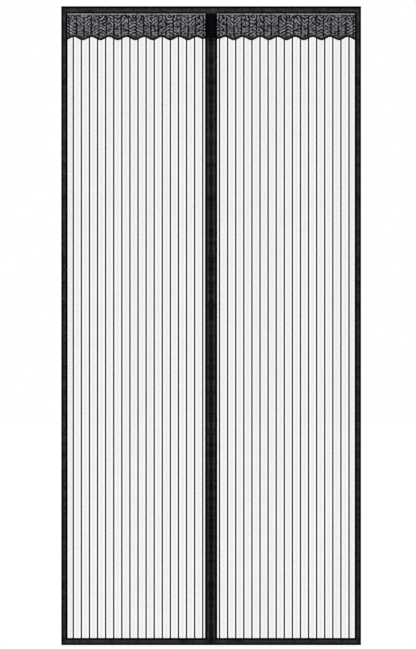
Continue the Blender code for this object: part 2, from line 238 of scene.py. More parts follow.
@dataclass(frozen=True)
class WovenTape(Finish):
    """Woven polyester tape: ribs, a warm mottle, puckers and painted shade at turned edges.

    The ribs of the real tape are about 0.7 mm apart. They are drawn at 1.6 mm, so that a few
    of them show. An attribute named edge_shade says how much painted shade a band has near
    its folded edge and its mouth. On the patch it darkens the line of the seam.

    Attributes:
        warm: colour of its warmer patches.
        edge: colour of the painted shade at a band's edges, and of the patch's seam line.
        rib_pitch: distance from rib to rib along it.
        thread_pitch: distance from thread to thread across it.
        patch_size: size of a lighter or darker patch.
        mottle: how the patches are squeezed across and along the tape.
        pucker: the same for the puckers that the sewing draws across it.
        pucker_share: how much of its unevenness is puckers.
    """

    relief: float = 0.15 * MM
    warm: str = "#3a3534"
    edge: str = "#010101"
    rib_pitch: float = 1.6 * MM
    thread_pitch: float = 0.8 * MM
    patch_size: float = 9 * MM
    mottle: tuple[float, float, float] = (0.55, 0.35, 1.0)
    pucker: tuple[float, float, float] = (0.25, 1.6, 1.0)
    pucker_share: float = 0.4

    def paint(self, add: Adder) -> dict[str, Any]:
        """Mix tones by patches, paint shade along the edges, and shade the weave and puckers."""
        place = add("TexCoord", {}, "UV")
        rib = {"bands_direction": "Y", "Scale": wave_scale(self.rib_pitch), "Distortion": 0.6}
        thread = {"bands_direction": "X", "Scale": wave_scale(self.thread_pitch)}
        ribs, threads = (add("TexWave", {**wave, "Vector": place}, "Fac") for wave in (rib, thread))
        weave = add("Math", {"operation": "MULTIPLY", 0: ribs, 1: threads})
        mottle = add("Mapping", {"Scale": self.mottle, "Vector": place})
        pucker = add("Mapping", {"Scale": self.pucker, "Vector": place})
        cloud = {"Scale": 1 / self.patch_size, "Detail": 4.0, "Roughness": 0.55}
        uneven = add("TexNoise", {**cloud, "Vector": mottle})
        folds = add("TexNoise", {"Scale": 1 / self.patch_size, "Detail": 2.0, "Vector": pucker})
        warmth = add("MapRange", {"From Min": 0.4, "From Max": 0.65, "Value": uneven})
        tones = {"data_type": "RGBA", 6: linear(self.tone), 7: linear(self.warm)}
        ground = add("Mix", {**tones, 0: warmth}, 2)
        # Painted shade at a band's folds and mouths. On the patch, this is the darker seam line.
        shade = add("Attribute", {"attribute_name": "edge_shade"}, "Fac")
        tone = add("Mix", {"data_type": "RGBA", 0: shade, 6: ground, 7: linear(self.edge)}, 2)
        blend = add("Mix", {0: self.pucker_share, 2: uneven, 3: folds})
        span = {"From Min": 0.35, "From Max": 0.65, "To Min": 0.25, "To Max": 1.65}
        lift = add("MapRange", {**span, "Value": blend})
        grain = add("MapRange", {"To Min": 0.7, "To Max": 1.25, "Value": weave})
        both = add("Math", {"operation": "MULTIPLY", 0: lift, 1: grain})
        colour = add("VectorMath", {"operation": "SCALE", 0: tone, "Scale": both})
        return {"Base Color": colour, "Height": weave}


@dataclass(frozen=True)
class SpunYarn(Finish):
    """Black polyester yarn, drawn and twisted: a faint slub along it and a soft sheen.

    The real filament is about 0.15 mm thick, too fine for its twist to show, so the twist is
    drawn at the pitch given here. Its slubs are some 9 mm long.
    """

    relief: float = 0.06 * MM
    twist_pitch: float = 1.2 * MM
    slub_length: float = 9 * MM

    def paint(self, add: Adder) -> dict[str, Any]:
        """Vary the yarn's tone along its length and press its twist in."""
        place = add("TexCoord", {}, "Object")
        turn = {"bands_direction": "DIAGONAL", "Scale": wave_scale(self.twist_pitch)}
        twist = add("TexWave", {**turn, "Vector": place}, "Fac")
        slub = add("TexNoise", {"Scale": 1 / self.slub_length, "Detail": 2.0, "Vector": place})
        span = {"From Min": 0.3, "From Max": 0.7, "To Min": 0.7, "To Max": 1.3}
        lift = add("MapRange", {**span, "Value": slub})
        tone = linear(self.tone)[:3]
        colour = add("VectorMath", {"operation": "SCALE", 0: tone, "Scale": lift})
        return {"Base Color": colour, "Height": twist}


@dataclass(frozen=True)
class KnittedLace(Finish):
    """Warp-knitted lace: pale grey yarn over near-black gaps.

    An attribute named strand says how much of the pale yarn shows at a point. Between pale
    and dark, the loops stay pale and the holes between them darken first. The loops of the
    real knit are about 0.9 mm and are drawn at 1.5 mm.
    """

    relief: float = 0.2 * MM
    gap: str = "#09090e"
    loop_pitch: float = 1.5 * MM

    def paint(self, add: Adder) -> dict[str, Any]:
        """Mix yarn and gap by the strand attribute, with loops in a diamond lattice."""
        flat = add("TexCoord", {}, "UV")
        place = add("Mapping", {"Rotation": (0.0, 0.0, math.pi / 4), "Vector": flat})
        wave = {"Scale": wave_scale(self.loop_pitch), "Distortion": 1.5, "Vector": place}
        wales, courses = (add("TexWave", {"bands_direction": axis, **wave}, "Fac") for axis in "XY")
        loops = add("Math", {"operation": "MULTIPLY", 0: wales, 1: courses})
        strand = add("Attribute", {"attribute_name": "strand"}, "Fac")
        swing = add("Math", {"operation": "PINGPONG", 0: strand, 1: 0.5})
        spread = add("MapRange", {"To Min": -0.6, "To Max": 1.8, "Value": loops})
        cover = add("Math", {"operation": "MULTIPLY_ADD", 0: spread, 1: swing, 2: strand})
        tones = {"data_type": "RGBA", 6: linear(self.gap), 7: linear(self.tone)}
        tone = add("Mix", {**tones, 0: cover}, 2)
        grain = add("MapRange", {"To Min": 0.72, "To Max": 1.18, "Value": loops})
        colour = add("VectorMath", {"operation": "SCALE", 0: tone, "Scale": grain})
        return {"Base Color": colour, "Height": loops}


@dataclass(frozen=True)
class BrushedPile(Finish):
    """Brushed loop pile of a sewn fastening tape: a soft felt of tangled black loops."""

    relief: float = 0.4 * MM
    loop_size: float = 0.9 * MM

    def paint(self, add: Adder) -> dict[str, Any]:
        """Tangle the loops with a fine cell pattern."""
        cell = {"Scale": 1 / self.loop_size, "Randomness": 1.0}
        cells = add("TexVoronoi", {**cell, "Vector": add("TexCoord", {}, "Object")}, "Distance")
        lift = add("MapRange", {"To Min": 0.6, "To Max": 1.6, "Value": cells})
        tone = linear(self.tone)[:3]
        colour = add("VectorMath", {"operation": "SCALE", 0: tone, "Scale": lift})
        return {"Base Color": colour, "Height": cells}


@dataclass(frozen=True)
class AdhesiveWeb(Finish):
    """Back of a hook tape: woven ground seen through a rolled film of acrylic adhesive."""

    relief: float = 0.3 * MM
    weave_pitch: float = 1.1 * MM
    film_patch: float = 22 * MM

    def paint(self, add: Adder) -> dict[str, Any]:
        """Lay the ground's weave under the film, with patches where the film is thicker."""
        place = add("TexCoord", {}, "UV")
        checks = {"Color1": (1, 1, 1, 1), "Color2": (0.6, 0.6, 0.6, 1)}
        weave = add("TexChecker", {"Scale": 1 / self.weave_pitch, **checks, "Vector": place})
        film = add("TexNoise", {"Scale": 1 / self.film_patch, "Detail": 4.0, "Vector": place})
        tint = {"data_type": "RGBA", "blend_type": "MULTIPLY", 0: 1.0, 6: linear(self.tone)}
        colour = add("Mix", {**tint, 7: weave}, 2)
        span = {"From Min": 0.35, "From Max": 0.65, "To Min": 0.28, "To Max": 0.5}
        rough = add("MapRange", {**span, "Value": film})
        return {"Base Color": colour, "Roughness": rough, "Height": film}


@dataclass(frozen=True)
class SinteredFerrite(Finish):
    """Pressed and sintered ferrite: dull charcoal with fine pores."""

    relief: float = 0.05 * MM
    pore_size: float = 0.6 * MM

    def paint(self, add: Adder) -> dict[str, Any]:
        """Pit the surface finely and cloud its tone."""
        place = add("TexCoord", {}, "Object")
        pores = add("TexNoise", {"Scale": 1 / self.pore_size, "Detail": 5.0, "Vector": place})
        lift = add("MapRange", {"To Min": 0.75, "To Max": 1.2, "Value": pores})
        tone = linear(self.tone)[:3]
        colour = add("VectorMath", {"operation": "SCALE", 0: tone, "Scale": lift})
        return {"Base Color": colour, "Height": pores}


@dataclass(frozen=True)
class RolledStrip(Finish):
    """Cold-rolled steel strip: long faint draw lines and a satin shine."""

    relief: float = 0.02 * MM
    line_pitch: float = 0.5 * MM
    stretch: float = 100.0

    def paint(self, add: Adder) -> dict[str, Any]:
        """Draw the rolling lines along the strip by stretching noise."""
        long = {"Scale": (1 / self.stretch, 1.0, 1.0), "Vector": add("TexCoord", {}, "Object")}
        line = {"Scale": 1 / self.line_pitch, "Detail": 2.0, "Vector": add("Mapping", long)}
        lines = add("TexNoise", line)
        rough = add("MapRange", {"To Min": 0.3, "To Max": 0.5, "Value": lines})
        return {"Base Color": linear(self.tone), "Roughness": rough, "Height": lines}


# Its edge colour, #010101 by default, is painted shade at the folds and mouths of the bands.
BINDING = WovenTape("black_woven_binding_tape", "#353537")
PATCH_CLOTH = WovenTape(
    "near_black_woven_patch", "#0c0b0f", warm="#0c0b0f", edge="#020202", thread_pitch=0.9 * MM
)
NET_YARN = SpunYarn("black_polyester_net_yarn", "#191919", roughness=0.7)
STRIPE_YARN = SpunYarn("black_bulked_stripe_yarn", "#343436", twist_pitch=2.2 * MM)
SEWING_THREAD = SpunYarn("black_sewing_thread", "#040405", twist_pitch=0.8 * MM)
OVERLOCK_YARN = SpunYarn("black_overlock_yarn", "#101010", twist_pitch=1.0 * MM)
LACE = KnittedLace("grey_knitted_lace", "#a2a2aa", roughness=0.75, specular=0.03)
LOOP_PILE = BrushedPile("black_loop_pile", "#141415", roughness=0.95)
HOOK_BACK = AdhesiveWeb("black_hook_tape_adhesive_back", "#202124", roughness=0.4, specular=0.3)
FERRITE = SinteredFerrite("sintered_ferrite", "#3a3837", roughness=0.6, specular=0.4)
STEEL = RolledStrip(
    "cold_rolled_steel_strip", "#9a9b9d", roughness=0.4, specular=0.5, metallic=1.0
)


@dataclass(frozen=True)
class NodeBox:
    """Lowest and highest corner of a CAD node."""

    low: Vector
    high: Vector

    @classmethod
    def of(cls, node: str) -> "NodeBox":
        """Read a node's box from the frame."""
        low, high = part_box(node)
        return cls(low, high)

    @property
    def size(self) -> Vector:
        """Width, depth and height."""
        return self.high - self.low

    @property
    def middle(self) -> Vector:
        """Centre of the box."""
        return (self.low + self.high) / 2

    @property
    def near(self) -> float:
        """How far its inner side is from the middle of the screen."""
        return min(abs(self.low.x), abs(self.high.x))

    @property
    def far(self) -> float:
        """How far its outer side is from the middle of the screen."""
        return max(abs(self.low.x), abs(self.high.x))


def set_material(piece: Piece, finish: Finish) -> None:
    """Make a finish the only material of a piece."""
    piece.data.materials.clear()
    piece.data.materials.append(finish.material())


def finish_piece(piece: Piece, finish: Finish, replaced: Sequence[str] = ()) -> Piece:
    """Dress a finished piece and hand it to the frame.

    Args:
        piece: the piece, with its place in its mesh.
        finish: the finish of its surface.
        replaced: the CAD nodes that it stands for.

    Returns:
        The piece.
    """
    set_material(piece, finish)
    piece.data.shade_smooth()
    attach(piece, BODY)
    if replaced:
        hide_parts(*replaced)
    triangles = sum(len(face.vertices) - 2 for face in piece.data.polygons)
    LOG.info("%s: %d triangles", piece.name, triangles)
    return piece


def add_object(name: str, data: bpy.types.ID) -> Piece:
    """Put a new object with its data into the scene."""
    made = bpy.data.objects.new(name, data)
    bpy.context.scene.collection.objects.link(made)
    return made


def select_only(piece: Piece) -> None:
    """Make a piece the only selected and the active one."""
    bpy.ops.object.select_all(action="DESELECT")
    piece.select_set(True)
    bpy.context.view_layer.objects.active = piece


def apply_modifier(piece: Piece, kind: str, **settings: Any) -> None:
    """Put a modifier with its settings on a piece and apply it.

    Args:
        piece: the piece.
        kind: the modifier's type.
        settings: its properties.
    """
    select_only(piece)
    modifier = piece.modifiers.new(kind.lower(), kind)
    for name, value in settings.items():
        setattr(modifier, name, value)
    bpy.ops.object.modifier_apply(modifier=modifier.name)


def points_of(piece: Piece) -> np.ndarray:
    """The piece's points as rows of X, Y and Z."""
    flat = np.empty(len(piece.data.vertices) * 3)
    piece.data.vertices.foreach_get("co", flat)
    return flat.reshape(-1, 3)


def set_attribute(piece: Piece, name: str, values: np.ndarray) -> None:
    """Store one number a point on a piece, for its material."""
    layer = piece.data.attributes.new(name, "FLOAT", "POINT")
    layer.data.foreach_set("value", values.astype(np.float32))


def cloth_grid(name: str, across: int, along: int, shape: Shape) -> Piece:
    """Lay a flat grid of cloth and shape it point by point.

    Args:
        name: the piece's name.
        across: faces across the cloth.
        along: faces along it.
        shape: turns shares into points, and into metres that become the UV map.

    Returns:
        The new piece, one layer thick.
    """
    bpy.ops.object.select_all(action="DESELECT")
    bpy.ops.mesh.primitive_grid_add(x_subdivisions=across, y_subdivisions=along, size=1.0)
    piece = bpy.context.object
    piece.name = name
    piece.data.name = name
    mesh = piece.data
    shares = points_of(piece) + 0.5
    points, metres = shape(shares[:, 0], shares[:, 1])
    mesh.vertices.foreach_set("co", points.astype(np.float32).ravel())
    corners = np.empty(len(mesh.loops), dtype=np.int32)
    mesh.loops.foreach_get("vertex_index", corners)
    mesh.uv_layers.active.data.foreach_set("uv", metres[corners].astype(np.float32).ravel())
    mesh.update()
    return piece


def mesh_piece(name: str, parts: Sequence[Part]) -> Piece:
    """Make one piece of many parts, close their open ends and turn all faces outwards.

    Args:
        name: the piece's name.
        parts: the points and the faces of each part.

    Returns:
        The new piece.
    """
    points, faces, start = [], [], 0
    for part_points, part_faces in parts:
        points.append(part_points)
        faces += [[corner + start for corner in face] for face in part_faces]
        start += len(part_points)
    mesh = bpy.data.meshes.new(name)
    mesh.from_pydata(np.concatenate(points).tolist(), [], faces)
    mesh.validate()
    piece = add_object(name, mesh)
    select_only(piece)
    bpy.ops.object.mode_set(mode="EDIT")
    bpy.ops.mesh.select_all(action="SELECT")
    bpy.ops.mesh.fill_holes(sides=0)
    bpy.ops.mesh.select_all(action="SELECT")
    bpy.ops.mesh.normals_make_consistent(inside=False)
    bpy.ops.object.mode_set(mode="OBJECT")
    return piece


def tube_faces(count: int, steps: int, sides: int) -> list[list[int]]:
    """Side faces of tubes whose points are numbered tube by tube and ring by ring."""
    index = np.arange(count * steps * sides).reshape(count, steps, sides)
    here, after = index[:, :-1], index[:, 1:]
    turned_here, turned_after = np.roll(here, -1, axis=2), np.roll(after, -1, axis=2)
    faces = np.stack([here, turned_here, turned_after, after], axis=3)
    return faces.reshape(-1, 4).tolist()


def swept_yarns(lines: np.ndarray, aside: Vector, width: float, depth: float, sides: int) -> Part:
    """Sweep a small round section along many lines with the same number of points.

    Args:
        lines: points of each line, shaped count by steps by 3.
        aside: unit direction across the yarns, in the plane of the net.
        width: size of the section along aside.
        depth: size of the section along Y.
        sides: sides of the section.

    Returns:
        All points, and all side faces.
    """
    count, steps, _ = lines.shape
    turns = math.tau * (np.arange(sides) + 0.5) / sides
    ring = np.outer(np.cos(turns) * width / 2, aside)
    ring = ring + np.outer(np.sin(turns) * depth / 2, (0, 1, 0))
    points = lines[:, :, None, :] + ring
    return points.reshape(-1, 3), tube_faces(count, steps, sides)


@dataclass
class NetPanel:
    """One panel of striped net.

    Real yarns run both ways. The real mesh is about 1.5 mm and is drawn at 2.2 mm, to keep
    within the triangles that a piece may have. The yarns up the panel stand close in the
    middle of each lane, and only the crosswise ones pass beside a stripe, as in the photo.
    One thick cord runs just outside each band, where the net is overcast. The net hangs in
    faint folds, counted over its open width and height, and is held flat near its sewn edges.
    """

    side: Side
    stripe_pitch: float = 26.72 * MM
    first_stripe: float = 27.8 * MM
    stripe_count: int = 17
    cords: int = 4
    selvedge_inset: float = 0.5 * MM
    cord_pitch: float = 1.25 * MM
    cord_width: float = 1.46 * MM
    cord_depth: float = 0.8 * MM
    cord_sides: int = 6
    yarn_pitch: float = 2.2 * MM
    lane_yarns: int = 5
    upright_width: float = 0.38 * MM
    cross_width: float = 0.08 * MM
    yarn_depth: float = 0.2 * MM
    yarn_sides: int = 3
    cross_steps: int = 21
    upright_steps: int = 37
    ripple: float = 1.3 * MM
    held_side: float = 0.25
    held_foot: float = 0.1
    folds_across: float = 2.6
    fold_lean: float = 0.12
    lean_turns: float = 1.4
    sways_up: float = 3.2
    sway_lean: float = 0.8
    sway_share: float = 0.5
    box: NodeBox = field(init=False)
    open_low: float = field(init=False)
    open_high: float = field(init=False)
    inner_mouth: float = field(init=False)
    outer_mouth: float = field(init=False)

    def __post_init__(self) -> None:
        """Read the panel's place from the frame."""
        word = self.side.word
        self.box = NodeBox.of(f"{word}_net")
        self.open_low = NodeBox.of(f"{word}_hem").high.z
        self.open_high = NodeBox.of(f"{word}_valance").low.z
        self.inner_mouth = NodeBox.of(f"{word}_centre_band").far
        self.outer_mouth = NodeBox.of(f"{word}_side_band").near

    def hang(self, x: np.ndarray, z: np.ndarray) -> np.ndarray:
        """Depth of the hanging net: flat where it is sewn, softly rippled in the middle.

        Args:
            x: distances from the middle of the screen.
            z: heights.

        Returns:
            Y of the net's middle layer.
        """
        across = np.clip((x - self.inner_mouth) / (self.outer_mouth - self.inner_mouth), 0, 1)
        up = np.clip((z - self.open_low) / (self.open_high - self.open_low), 0, 1)
        hold = smooth(across / self.held_side) * smooth((1 - across) / self.held_side)
        hold = hold * smooth(up / self.held_foot) * smooth((1 - up) / self.held_side)
        lean = self.fold_lean * np.sin(math.tau * up * self.lean_turns)
        folds = np.sin(math.tau * (across * self.folds_across + lean))
        sway = self.sway_share * np.sin(math.tau * (up * self.sways_up + across * self.sway_lean))
        return self.box.middle.y + self.ripple * hold * (folds + sway) / (1 + self.sway_share)

    def lay(self, x: np.ndarray, z: np.ndarray, forward: float) -> np.ndarray:
        """Points of yarns that lie in the net at x and z, a little in front or behind."""
        y = self.hang(x, z) - forward
        return np.stack([self.side.value * x, y, z], axis=-1)

    def stripes(self) -> np.ndarray:
        """Distance of each stripe from the middle of the screen."""
        return self.first_stripe + self.stripe_pitch * np.arange(self.stripe_count)

    def upright_places(self) -> np.ndarray:
        """Distances of the net's upright yarns, close in the middle of each lane."""
        stripes = self.stripes()
        lanes = np.append(stripes[:-1] + self.stripe_pitch / 2, (stripes[-1] + self.outer_mouth) / 2)
        return (lanes[:, None] + centred(self.lane_yarns, self.yarn_pitch)).ravel()

    def cord_places(self) -> np.ndarray:
        """Distances of the cords, four to a stripe and one beside each band."""
        cords = (self.stripes()[:, None] + centred(self.cords, self.cord_pitch)).ravel()
        edges = (self.inner_mouth + self.selvedge_inset, self.outer_mouth - self.selvedge_inset)
        return np.concatenate([cords, edges])

    def build(self) -> Piece:
        """Lay every yarn of the panel as one piece.

        Returns:
            The panel.
        """
        low, high = self.box.low.z, self.box.high.z
        rows = np.arange(low + self.yarn_pitch, high, self.yarn_pitch)
        x, z = np.meshgrid(np.linspace(self.box.near, self.box.far, self.cross_steps), rows)
        half = self.yarn_depth / 2
        yarn = (self.yarn_depth, self.yarn_sides)
        parts = [swept_yarns(self.lay(x, z, -half), UP, self.cross_width, *yarn)]
        heights = np.linspace(low, high, self.upright_steps)
        x, z = np.meshgrid(self.upright_places(), heights, indexing="ij")
        parts.append(swept_yarns(self.lay(x, z, half), RIGHT, self.upright_width, *yarn))
        x, z = np.meshgrid(self.cord_places(), heights, indexing="ij")
        cord = (self.cord_width, self.cord_depth, self.cord_sides)
        parts.append(swept_yarns(self.lay(x, z, 0.0), RIGHT, *cord))
        word = self.side.word
        piece = mesh_piece(f"{word}_net_yarns", parts)
        finish_piece(piece, NET_YARN, (f"{word}_net",))
        piece.data.materials.append(STRIPE_YARN.material())
        kinds = np.zeros(len(piece.data.polygons), dtype=np.int32)
        thin = len(parts[0][1]) + len(parts[1][1])
        kinds[thin : thin + len(parts[2][1])] = 1
        piece.data.polygons.foreach_set("material_index", kinds)
        return piece


@dataclass
class StitchRow:
    """Lock stitches along a seam: one stitch is modelled and copied down the line.

    Real stitches are about 3 mm apart. They are drawn at 5 mm, and a little fat, to show.
    """

    length: float = 3.4 * MM
    thread: float = 0.55 * MM
    pitch: float = 5.0 * MM

    def model_one(self) -> Part:
        """Model a single stitch at the origin, along X.

        Returns:
            Its points, and its faces.
        """
        bpy.ops.object.select_all(action="DESELECT")
        bpy.ops.mesh.primitive_uv_sphere_add(segments=6, ring_count=4, radius=0.5)
        stitch = bpy.context.object
        bpy.ops.object.mode_set(mode="EDIT")
        bpy.ops.mesh.select_all(action="SELECT")
        origin = (0.0, 0.0, 0.0)
        bpy.ops.transform.rotate(value=math.pi / 2, orient_axis="Y", center_override=origin)
        bpy.ops.transform.resize(value=(self.length, self.thread, self.thread))
        bpy.ops.object.mode_set(mode="OBJECT")
        points = points_of(stitch)
        faces = [list(face.vertices) for face in stitch.data.polygons]
        mesh = stitch.data
        bpy.data.objects.remove(stitch)
        bpy.data.meshes.remove(mesh)
        return points, faces

    def sew(self, name: str, runs: Sequence[tuple[Vector, Vector, float]], slot: str) -> Piece:
        """Copy the stitch along straight runs, as one piece.

        Args:
            name: the piece's name.
            runs: start and end of each run, and the sign of Y that its stitches lean to.
            slot: the name of a material slot; not used.

        Returns:
            The stitches.
        """
        one, faces = self.model_one()
        parts = []
        for begin, end, out in runs:
            run = end - begin
            along = np.array(run.normalized())
            normal = np.array((0.0, out, 0.0))
            shaped = one @ np.stack([along, normal, np.cross(along, normal)])
            for number in range(max(1, int(run.length / self.pitch))):
                centre = np.array(begin) + along * self.pitch * (number + 0.5)
                parts.append((shaped + centre, faces))
        return finish_piece(mesh_piece(name, parts), SEWING_THREAD)


@dataclass
class FoldedBand:
    """Tape folded in half over an edge of the screen and sewn through.

    Attributes:
        node: the CAD node that the band stands for.
        corner: the end of the fold where the band starts.
        across: unit direction from the fold to the mouth.
        along: unit direction along the band.
        length: length of the fold.
        pocket_end: where the filled pocket ends, or 0 where there is none.
        mouth_rise: half the space between the leaves at the mouth, to their middles.
        start_slope: how the start moves along the band for each metre across it.
        end_slope: the same for the end, which moves back.
        closing: how far the fold reaches past its CAD edge, to shut the slit.
        fold_shade: how dark the painted shade of the fold is beside the middle, from 0 to 1.
        fold_edge: how far the painted shade of the fold reaches, and over what it fades.
        mouth_edge: the same for the painted shade at the mouth.
        plain_end: length at the far end that has no painted shade at its edges.
        seams: distances of the seams from the mouth, negative ones from the fold.
        both_faces: whether the seams show behind too.
        leaf: thickness of the tape.
        groove: depth of the groove that a seam presses in, and groove_width its width.
        fold_steps: faces round half the fold, and leaf_steps across a leaf.
        step: length of a face along the band.
        sway: how far the band strays from flat, in waves of sway_length and sway_width.
        pocket_fade: over what width the pocket closes to the mouth.
        plain_fade: over what length the painted shade at the edges stops.
    """

    node: str
    corner: Vector
    across: Vector
    along: Vector
    length: float
    pocket_end: float = 0.0
    mouth_rise: float = 1.0 * MM
    start_slope: float = 0.0
    end_slope: float = 0.0
    closing: float = 0.0
    fold_shade: float = 1.0
    fold_edge: tuple[float, float] = (4.4 * MM, 3.6 * MM)
    mouth_edge: tuple[float, float] = (4.4 * MM, 3.4 * MM)
    plain_end: float = 0.0
    seams: tuple[float, ...] = (3.0 * MM,)
    both_faces: bool = False
    leaf: float = 0.6 * MM
    groove: float = 0.22 * MM
    groove_width: float = 0.9 * MM
    fold_steps: int = 5
    leaf_steps: int = 18
    step: float = 12 * MM
    sway: float = 0.12 * MM
    sway_length: float = 310 * MM
    sway_width: float = math.tau / 90
    pocket_fade: float = 2.2 * MM
    plain_fade: float = 1.5 * MM

    @property
    def width(self) -> float:
        """Distance from the fold to the mouth."""
        size = NodeBox.of(self.node).size
        return abs(size.dot(Vector([abs(c) for c in self.across]))) + self.closing

    @property
    def pocket_rise(self) -> float:
        """Half the distance between the middles of the leaves in the pocket."""
        return NodeBox.of(self.node).size.y / 2 - self.leaf / 2

    def seam_places(self) -> list[float]:
        """Distance of each seam from the fold."""
        return [self.width - s if s > 0 else -s for s in self.seams]

    def rise(self, distance: np.ndarray) -> np.ndarray:
        """Half the distance between the leaves, by distance from the fold."""
        height = np.full_like(distance, self.pocket_rise)
        if self.pocket_end:
            share = smooth((distance - self.pocket_end) / self.pocket_fade)
            height = self.pocket_rise + (self.mouth_rise - self.pocket_rise) * share
        for place in self.seam_places():
            dip = np.exp(-(((distance - place) / self.groove_width) ** 2))
            height = height - self.groove * dip
        return height

    def section(self) -> tuple[np.ndarray, np.ndarray]:
        """The folded section, from the back mouth round the fold to the front mouth.

        Returns:
            Distances from the fold's outer edge, and heights in front of the middle.
        """
        radius = self.pocket_rise
        turns = np.linspace(0, math.pi / 2, self.fold_steps + 1)
        fold = self.leaf / 2 + radius * (1 - np.cos(turns))
        leaf = np.linspace(self.leaf / 2 + radius, self.width, self.leaf_steps + 1)[1:]
        distance = np.concatenate([fold, leaf])
        height = np.concatenate([radius * np.sin(turns), self.rise(leaf)])
        distances = np.concatenate([distance[:0:-1], distance])
        return distances, np.concatenate([-height[:0:-1], height])

    def edge(self, distance: np.ndarray, reach: tuple[float, float]) -> np.ndarray:
        """Painted shade by distance from an edge: full, then fading out."""
        return smooth(1 - (distance - reach[0]) / reach[1])

    def shade(self, distance: np.ndarray, run: np.ndarray) -> np.ndarray:
        """How much painted shade the tape has at a point, at its fold and its mouth.

        Args:
            distance: distances from the fold.
            run: distances along the band.

        Returns:
            0 in the plain middle and 1 in full painted shade at an edge.
        """
        # Painted shade along the mouth and the folded edge, none over the plain end.
        mouth = self.edge(self.width - distance, self.mouth_edge)
        fold = self.fold_shade * self.edge(distance, self.fold_edge)
        plain = smooth((run - self.length + self.plain_end) / self.plain_fade)
        return np.maximum(mouth, fold) * (1 - plain)

    def build(self) -> Piece:
        """Shape the band and give it its two leaves.

        Returns:
            The band.
        """
        distances, heights = self.section()
        steps = np.hypot(np.diff(distances), np.diff(heights))
        girth = np.concatenate([[0.0], np.cumsum(steps)])
        order = np.linspace(0, 1, len(distances))
        corner, across, along = (np.array(v) for v in (self.corner, self.across, self.along))

        def shape(s: np.ndarray, t: np.ndarray) -> tuple[np.ndarray, np.ndarray]:
            distance, height = np.interp(s, order, distances), np.interp(s, order, heights)
            begin = self.start_slope * distance
            end = self.length - self.end_slope * distance
            run = begin + (end - begin) * t
            wave = np.sin(math.tau * (run / self.sway_length + distance / self.sway_width))
            points = np.outer(distance, across) + np.outer(height + self.sway * wave, OUT)
            metres = np.stack([np.interp(s, order, girth), run], axis=1)
            return corner + points + np.outer(run, along), metres

        along_count = math.ceil(self.length / self.step)
        piece = cloth_grid(f"{self.node}_tape", len(distances) - 1, along_count, shape)
        offset = points_of(piece) - corner
        set_attribute(piece, "edge_shade", self.shade(offset @ across, offset @ along))
        apply_modifier(piece, "SOLIDIFY", thickness=self.leaf, offset=0.0)
        finish_piece(piece, BINDING, (self.node,))
        self.sew_seams()
        return piece

    def sew_seams(self) -> Piece:
        """Sew the band's seams.

        Returns:
            The stitches of all its seams.
        """
        row = StitchRow()
        runs = []
        for place in self.seam_places():
            height = float(self.rise(np.array([place]))[0]) + self.leaf / 2
            begin = self.start_slope * place + row.pitch / 2
            end = self.length - self.end_slope * place - row.pitch / 2
            for face in (1, -1) if self.both_faces else (1,):
                base = self.corner + self.across * place + OUT * height * face
                runs.append((base + self.along * begin, base + self.along * end, -face))
        return row.sew(f"{self.node}_stitches", runs, "binding_tape")


@dataclass
class HeaderBand(FoldedBand):
    """The band along the top, whose painted shade at the mouth runs only over the two valances."""

    def shade(self, distance: np.ndarray, run: np.ndarray) -> np.ndarray:
        """Paint shade on the fold, both ends, and the mouth between the other bands.

        Args:
            distance: distances from the fold.
            run: distances along the band.

        Returns:
            0 in the plain middle and 1 in full painted shade at an edge.
        """
        from_middle = np.abs(run - self.length / 2)
        reach, fade = self.fold_edge
        inside = smooth((NodeBox.of("right_valance").far + reach - from_middle) / fade)
        inside = inside * smooth((from_middle - NodeBox.of("top_joining_patch").far) / fade)
        # Painted shade at the mouth between the side bands, and at the fold and both ends.
        mouth = self.edge(self.width - distance, self.mouth_edge) * inside
        ends = self.edge(self.length / 2 - from_middle, self.fold_edge)
        return np.maximum.reduce([mouth, self.edge(distance, self.fold_edge), ends])


def screen_bands() -> list[FoldedBand]:
    """Describe the seven bands from their CAD nodes, each run up to the next one.

    Returns:
        The header, and the side band, centre band and hem of each panel.
    """
    header, patch = NodeBox.of("header_band"), NodeBox.of("top_joining_patch")
    bands: list[FoldedBand] = [
        HeaderBand(
            "header_band",
            Vector((header.low.x, header.middle.y, header.high.z)),
            -UP,
            RIGHT,
            header.size.x,
            mouth_rise=header.size.y / 2 - 0.3 * MM,
            # Reaches of the painted shade at the header's fold and mouth.
            fold_edge=(5.4 * MM, 4.0 * MM),
            mouth_edge=(0.8 * MM, 0.8 * MM),
            seams=(3.0 * MM, -3.5 * MM),
        )
    ]
    for side in Side:
        word, outward = side.word, side.value * RIGHT
        outer = NodeBox.of(f"{word}_side_band")
        inner = NodeBox.of(f"{word}_centre_band")
        hem = NodeBox.of(f"{word}_hem")
        low, height = hem.low.z, header.low.z - hem.low.z
        side_slope = hem.size.z / outer.size.x
        centre_slope = hem.size.z / (inner.size.x + inner.near)
        bands += [
            FoldedBand(
                f"{word}_side_band",
                Vector((outer.far * side.value, outer.middle.y, low)),
                -outward,
                UP,
                height,
                start_slope=side_slope,
                seams=(3.0 * MM, -3.0 * MM),
            ),
            FoldedBand(
                f"{word}_centre_band",
                Vector((0, inner.middle.y, low)),
                outward,
                UP,
                height,
                pocket_end=12.9 * MM,
                mouth_rise=0.85 * MM,
                start_slope=centre_slope,
                closing=inner.near,
                # Lighter painted shade at the folds that meet at the slit, and none where the patch
                # covers the top.
                fold_shade=0.74,
                plain_end=header.low.z - patch.high.z,
                seams=(2.6 * MM,),
                both_faces=True,
            ),
            FoldedBand(
                f"{word}_hem",
                Vector((0, hem.middle.y, low)),
                UP,
                outward,
                outer.far,
                pocket_end=10.7 * MM,
                start_slope=1 / centre_slope,
                end_slope=1 / side_slope,
                seams=(3.2 * MM,),
                both_faces=True,
            ),
        ]
    return bands


def rows(depth: np.ndarray, top: float, foot: float, fade: float = 2 * MM) -> np.ndarray:
    """1 between two depths of the lace and 0 outside them, with soft ends."""
    return smooth((depth - top) / fade) * smooth((foot - depth) / fade)


